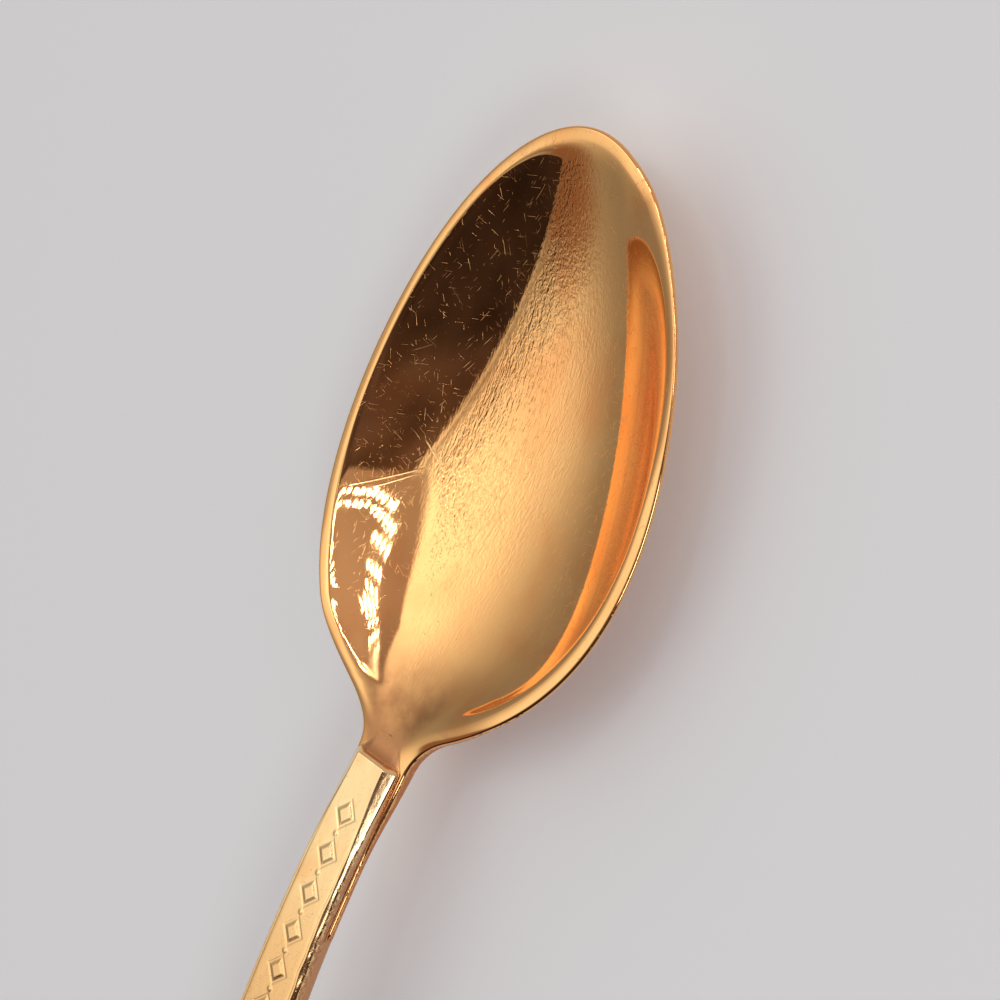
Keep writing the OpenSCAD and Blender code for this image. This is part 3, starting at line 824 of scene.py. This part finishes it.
def bowl_finish():
    finish = Finish("bowl_copper")
    tree = finish.tree
    scratches, specks, torn = bowl_relief(finish)
    tint = nose_tint(finish)
    dull = times(tree, nose_share(finish), stepped(tree, tint, *DULL_TONES))
    cut = times(tree, stepped(tree, finish.down, *CUT_TONES), stepped(tree, finish.along(0), *CUT_FADE))
    patches = stepped(tree, finish.cloud(**BOWL_PATCH_GRAIN), *BOWL_PATCH_TONES)
    color = mixed_color(tree, patches, COPPER, RED_COPPER)
    color = mixed_color(tree, tint, color, TINTED_COPPER)
    color = mixed_color(tree, dull, color, DULL_COPPER)
    # Painted reflection: the cut edge is coloured orange in place of the reddish surrounding it mirrors
    color = mixed_color(tree, cut, color, EDGE_REFLECTION_COPPER)
    color = mixed_color(tree, times(tree, torn, BOWL_TORN_TONE), color, BURNT_AND_SHADED_COPPER)
    rough = stepped(tree, finish.cloud(**BOWL_HAZE_GRAIN), *BOWL_HAZE)
    for share, roughness in (
        (tint, TINT_ROUGHNESS),
        (dull, DULL_ROUGHNESS),
        (math_node(tree, "MAXIMUM", scratches, specks), BOWL_MARK_ROUGHNESS),
        (torn, BOWL_TORN_ROUGHNESS),
        (cut, CUT_ROUGHNESS),
    ):
        rough = math_node(tree, "ADD", rough, times(tree, share, roughness))
    return finish.done(color, rough)


# The handle's layers
SWELL_GRAIN, SWELL_DEPTH = dict(long=1.6, wide=0.7, shift=3.0, warp=0.5), 0.010
BRUSH_GRAIN, BRUSH_DEPTH = dict(long=0.3, wide=0.12, shift=9.0, detail=1.0), 0.0016
HANDLE_SPECK, HANDLE_SPECK_DEPTH = dict(size=0.16, level=0.7), -0.008
HANDLE_STREAK_SHIFT, HANDLE_SCRATCH_DEPTH = 41.0, -0.002
HANDLE_TORN = dict(top=0.5, bottom=0.8)
HANDLE_TORN_GRAIN, HANDLE_TORN_DEPTH = dict(long=0.3, wide=0.14, shift=17.0, detail=3.0), 0.08
HANDLE_PATCH_GRAIN = dict(long=5.0, wide=3.0, shift=2.0, detail=3.0)
HANDLE_PATCH_TONES, BACK_REDDENING_TONES = (0.42, 0.75, 0.0, 0.7), (3.0, 17.0, 0.7, 0.0)
# Painted shade: the handle's sides turn darker brown further down from the top
SIDE_SHADE_TONES = (0.5, 1.0, 0.0, 0.85)
HANDLE_HAZE_GRAIN, HANDLE_HAZE = dict(long=2.0, wide=1.0, shift=5.0, detail=4.0), (0.3, 0.7, 0.11, 0.2)
HANDLE_TORN_TONE, HANDLE_MARK_ROUGHNESS = 0.8, 0.25


def handle_finish():
    finish = Finish("handle_copper")
    tree = finish.tree
    finish.emboss(finish.cloud(**SWELL_GRAIN), SWELL_DEPTH)
    finish.emboss(finish.cloud(**BRUSH_GRAIN), BRUSH_DEPTH)
    finish.emboss(finish.specks(**HANDLE_SPECK), HANDLE_SPECK_DEPTH)
    scratches = finish.fine_scratches(HANDLE_STREAK_SHIFT)
    finish.emboss(scratches, HANDLE_SCRATCH_DEPTH)
    wear_x = NOSE_X - WEAR_START
    worn = stepped(tree, finish.along(0), wear_x - WEAR_LENGTH, wear_x, 1.0, 0.0)
    torn = times(tree, finish.sheared(**HANDLE_TORN), worn)
    finish.emboss(times(tree, torn, finish.cloud(**HANDLE_TORN_GRAIN)), HANDLE_TORN_DEPTH)
    patches = stepped(tree, finish.cloud(**HANDLE_PATCH_GRAIN), *HANDLE_PATCH_TONES)
    # The copper turns redder further back from the nose
    reddened_back = stepped(tree, finish.along(0), *BACK_REDDENING_TONES)
    color = mixed_color(tree, math_node(tree, "MAXIMUM", patches, reddened_back), PALE_COPPER, COPPER)
    # Painted shade down the handle's sides
    color = mixed_color(tree, stepped(tree, finish.down, *SIDE_SHADE_TONES), color, BURNT_AND_SHADED_COPPER)
    color = mixed_color(tree, times(tree, torn, HANDLE_TORN_TONE), color, BURNT_AND_SHADED_COPPER)
    haze = stepped(tree, finish.cloud(**HANDLE_HAZE_GRAIN), *HANDLE_HAZE)
    marks = times(tree, math_node(tree, "MAXIMUM", scratches, torn), HANDLE_MARK_ROUGHNESS)
    return finish.done(color, math_node(tree, "ADD", haze, marks))


# The braze's layers, with lumpier, brighter and smoother metal at its two corners
LUMP_GRAIN, LUMP_DEPTH, LUMP_ROUGHNESS = (
    dict(long=0.22, wide=0.22, shift=1.0, detail=3.0, warp=0.6), 0.05, (0.3, 0.7, 0.4, 0.5)
)
CORNER_PLACES, CORNER_LUMPS, CORNER_ROUGHNESS = (1.5, 2.2), (0.15, 0.6), -0.15
SPECKLE_GRAIN, SPECKLE_TONES = dict(long=0.3, wide=0.3, shift=4.0, detail=3.0), (0.35, 0.6, 0.7, 1.0)


def braze_finish():
    finish = Finish("braze_alloy")
    tree = finish.tree
    beside = math_node(tree, "ABSOLUTE", finish.along(1))
    corner = stepped(tree, beside, *CORNER_PLACES)
    lumps = finish.cloud(**LUMP_GRAIN)
    finish.emboss(times(tree, lumps, stepped(tree, beside, *CORNER_PLACES, *CORNER_LUMPS)), LUMP_DEPTH)
    speckled = stepped(tree, finish.cloud(**SPECKLE_GRAIN), *SPECKLE_TONES)
    color = mixed_color(tree, times(tree, corner, speckled), DULL_COPPER, COPPER)
    rough = stepped(tree, lumps, *LUMP_ROUGHNESS)
    return finish.done(color, math_node(tree, "ADD", rough, times(tree, corner, CORNER_ROUGHNESS)))


for make, finish, node, slot in (
    (make_bowl, bowl_finish, "bowl", "bowl_copper"),
    (make_handle, handle_finish, "handle", "handle_copper"),
    (make_braze, braze_finish, "braze", "braze_alloy"),
):
    piece = make()
    piece.data.materials.append(finish())
    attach(piece, "root")
    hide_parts(node)


# The floor
FLOOR_SIZE, FLOOR_COLOR, FLOOR_GLOW = 10, (0.84, 0.89, 0.96, 1), 0.1
FLOOR_ROUGHNESS, FLOOR_SPECULAR = 0.9, 0.1


def make_floor():
    bpy.ops.mesh.primitive_plane_add(size=FLOOR_SIZE, location=(0, 0, 0))
    floor = bpy.context.object
    floor.name = "floor"
    material = bpy.data.materials.new("floor")
    material.use_nodes = True
    shader = material.node_tree.nodes["Principled BSDF"]
    shader.inputs["Base Color"].default_value = FLOOR_COLOR
    shader.inputs["Roughness"].default_value = FLOOR_ROUGHNESS
    shader.inputs["Specular IOR Level"].default_value = FLOOR_SPECULAR
    shader.inputs["Emission Color"].default_value = FLOOR_COLOR
    tree = material.node_tree
    path = add_node(tree, "ShaderNodeLightPath").outputs
    seen = math_node(tree, "MAXIMUM", path["Is Camera Ray"], path["Is Glossy Ray"])
    tree.links.new(times(tree, seen, FLOOR_GLOW), shader.inputs["Emission Strength"])
    floor.data.materials.append(material)


make_floor()


# Light, placed by the direction in which the bowl sees it
CENTRE = Vector((47, 0, 4)) * MM
LAMP_DISTANCE = 0.9


def facing(across, up):
    """The direction at those angles from the zenith towards +X and +Y, in degrees."""
    tilt = math.radians(math.hypot(across, up))
    turn = math.atan2(up, across)
    return Vector((math.sin(tilt) * math.cos(turn), math.sin(tilt) * math.sin(turn), math.cos(tilt)))


def softbox(name, direction, wide, high, radiance, shape="RECTANGLE"):
    """A flat lamp that spans those angles, in degrees, as seen from the bowl."""
    lamp = bpy.data.lights.new(name, "AREA")
    lamp.shape = shape
    lamp.size = 2 * LAMP_DISTANCE * math.tan(math.radians(wide / 2))
    lamp.size_y = 2 * LAMP_DISTANCE * math.tan(math.radians(high / 2))
    lamp.energy = radiance * math.pi * lamp.size * lamp.size_y
    holder = bpy.data.objects.new(name, lamp)
    bpy.context.scene.collection.objects.link(holder)
    right = (Vector((1, 0, 0)) - direction * direction.x).normalized()
    turned = Matrix((right, direction.cross(right), direction)).transposed().to_4x4()
    holder.matrix_world = Matrix.Translation(CENTRE + direction * LAMP_DISTANCE) @ turned


# The room: a soft light overhead that fades towards the horizon, brightest in a strip along its right edge,
# a brown wall to the right of it, a dark side towards the camera and a warm patch. Stops are a measure of
# the direction of sight with its tone.
LIT_SIDE = Vector((0.0384, 0.7885, 0.6138))
LIT_START, LIT_END = 0.556, 0.588
LIT_STOPS = (
    (0.585, 0.64), (0.605, 0.52), (0.628, 0.29), (0.65, 0.37),
    (0.69, 0.54), (0.72, 0.78), (0.75, 0.95), (0.78, 1.05),
)
SKY_STOPS = (
    (0.0, 0.28), (0.17, 0.3), (0.34, 0.36), (0.45, 0.47), (0.55, 0.58),
    (0.64, 0.75), (0.75, 0.95), (0.87, 1.13), (1.0, 1.22),
)
WALL_BORDERS = (((6.2, -3), (5, -28)), ((15, 19), (6.5, 1)))
WALL_SIDES = tuple(facing(*start).cross(facing(*end)).normalized() for start, end in WALL_BORDERS)
STRIP_START, STRIP_END, STRIP_GAIN = -0.3, -0.08, 1.4
EDGE_HEIGHTS, WHITE = (0.25, 0.7), (1, 1, 1, 1)
DARK_STOPS = ((-0.8, 0.03), (-0.5, 0.045), (-0.3, 0.095), (-0.12, 0.09), (0.0, 0.12))
UNEVEN_SCALE, UNEVEN_TONES = 2.5, (0.35, 0.65, 0.7, 1.3)
SOFT_TINT, DARK_TINT = (1.0, 0.96, 0.86), (1.0, 0.66, 0.6)
WALL_NEAR, WALL_FAR = (0.45, 0.36, 0.32, 1), (0.58, 0.47, 0.43, 1)
WALL_SPAN, WALL_EDGE = (0.0, 0.4), (-0.012, 0.016)
WARM_PLACE, WARM_REACH, WARM_COLOR = (-57, 28), (9, 19), (0.26, 0.15, 0.1, 1)


# Where a ramp's new stops are put before they are moved to their places
NEW_STOP = 0.5


def ramp(tree, value, stops):
    """A tone that follows a value through stops, each a value with its tone."""
    share = add_node(tree, "ShaderNodeMapRange", value, stops[0][0], stops[-1][0]).outputs[0]
    made = add_node(tree, "ShaderNodeValToRGB", share)
    elements = made.color_ramp.elements
    while len(elements) < len(stops):
        elements.new(NEW_STOP)
    for element, (place, tone) in zip(elements, stops):
        element.position = (place - stops[0][0]) / (stops[-1][0] - stops[0][0])
        element.color = (tone, tone, tone, 1)
    return made.outputs["Color"]


def angle_from(tree, sight, place):
    """Angle in degrees between the line of sight and a place in the room."""
    return math_node(tree, "DEGREES", math_node(tree, "ARCCOSINE", dot_node(tree, sight, facing(*place))))


def tinted(tree, level, tint):
    parts = [times(tree, level, share) for share in tint]
    return add_node(tree, "ShaderNodeCombineColor", *parts).outputs[0]


def make_room():
    world = bpy.data.worlds.new("studio")
    bpy.context.scene.world = world
    world.use_nodes = True
    tree = world.node_tree
    tree.nodes.clear()
    sight = add_node(tree, "ShaderNodeTexCoord").outputs["Generated"]
    towards = dot_node(tree, sight, LIT_SIDE)
    lit = stepped(tree, towards, LIT_START, LIT_END)
    beyond = math_node(tree, "MINIMUM", *(dot_node(tree, sight, side) for side in WALL_SIDES))
    height = dot_node(tree, sight, (0, 0, 1))
    strip = stepped(tree, beyond, STRIP_START, STRIP_END, 1.0, STRIP_GAIN)
    bright = times(tree, ramp(tree, height, SKY_STOPS), strip)
    edge = mixed_color(tree, stepped(tree, height, *EDGE_HEIGHTS), WHITE, ramp(tree, towards, LIT_STOPS))
    bright = times(tree, bright, edge)
    clouds = add_node(tree, "ShaderNodeTexNoise", sight)
    clouds.inputs["Scale"].default_value = UNEVEN_SCALE
    uneven = stepped(tree, clouds.outputs["Fac"], *UNEVEN_TONES)
    dark = times(tree, ramp(tree, dot_node(tree, sight, (1, 0, 0)), DARK_STOPS), uneven)
    room = mixed_color(tree, lit, tinted(tree, dark, DARK_TINT), tinted(tree, bright, SOFT_TINT))
    warm = stepped(tree, angle_from(tree, sight, WARM_PLACE), *WARM_REACH, 1.0, 0.0)
    room = mixed_color(tree, times(tree, warm, lit), room, WARM_COLOR)
    wall = mixed_color(tree, stepped(tree, beyond, *WALL_SPAN), WALL_NEAR, WALL_FAR)
    room = mixed_color(tree, stepped(tree, beyond, *WALL_EDGE), room, wall)
    light = add_node(tree, "ShaderNodeBackground", room, 1.0)
    add_node(tree, "ShaderNodeOutputWorld", light.outputs[0])


# Rows of small bead lamps, from one direction to another in degrees, and a lamp for the bevel on the
# camera's side
BEAD_LINES = (
    ((10.8, -27), (9.3, -11)), ((9.8, -8.5), (10.7, -1)),
    ((14.5, -25), (11.6, -11)), ((12.0, -8), (13.2, 3.5)),
    ((15.5, -2.5), (15.3, 5)), ((19.8, -1), (18.0, 5)), ((22.6, 0), (20.6, 5)),
    ((25.2, -0.5), (22.9, 4)), ((28.4, -2.5), (25.6, 2)), ((32, -17.5), (28.1, -12.6)),
)
BEAD_SPACING, BEAD_ANGLE, BEAD_RADIANCE = 2.2, 1.55, 8.0
FILL_PLACE, FILL_WIDE, FILL_HIGH, FILL_RADIANCE = (-10, -50), 18, 14, 5.0


def bead_rows():
    for row, (start, end) in enumerate(BEAD_LINES):
        count = round(math.dist(start, end) / BEAD_SPACING)
        for i in range(count + 1):
            share = i / count
            place = facing(mix(start[0], end[0], share), mix(start[1], end[1], share))
            softbox(f"bead_{row}_{i}", place, BEAD_ANGLE, BEAD_ANGLE, BEAD_RADIANCE, "ELLIPSE")


make_room()
bead_rows()
softbox("fill", facing(*FILL_PLACE), FILL_WIDE, FILL_HIGH, FILL_RADIANCE)


# The camera, as fitted to the photograph's rim and handle
CAMERA_PLACE = Vector((79.247, -99.549, 124.431)) * MM
CAMERA_RIGHT = Vector((0.33376, -0.67372, -0.65932))
CAMERA_DOWN = Vector((-0.91414, -0.40205, -0.05192))
FOCAL_PIXELS, IMAGE_PIXELS, SENSOR = 2200, 1000, 36
CLIP_START, CLIP_END = 0.005, 50


def make_camera():
    lens = bpy.data.cameras.new("camera")
    lens.sensor_width = SENSOR
    lens.lens = SENSOR * FOCAL_PIXELS / IMAGE_PIXELS
    lens.clip_start = CLIP_START
    lens.clip_end = CLIP_END
    camera = bpy.data.objects.new("camera", lens)
    bpy.context.scene.collection.objects.link(camera)
    forward = CAMERA_RIGHT.cross(CAMERA_DOWN).normalized()
    turned = Matrix((CAMERA_RIGHT, -CAMERA_DOWN, -forward)).transposed().to_4x4()
    camera.matrix_world = Matrix.Translation(CAMERA_PLACE) @ turned
    bpy.context.scene.camera = camera


make_camera()
bpy.context.scene.view_settings.view_transform = "Standard"

bpy.context.view_layer.update()
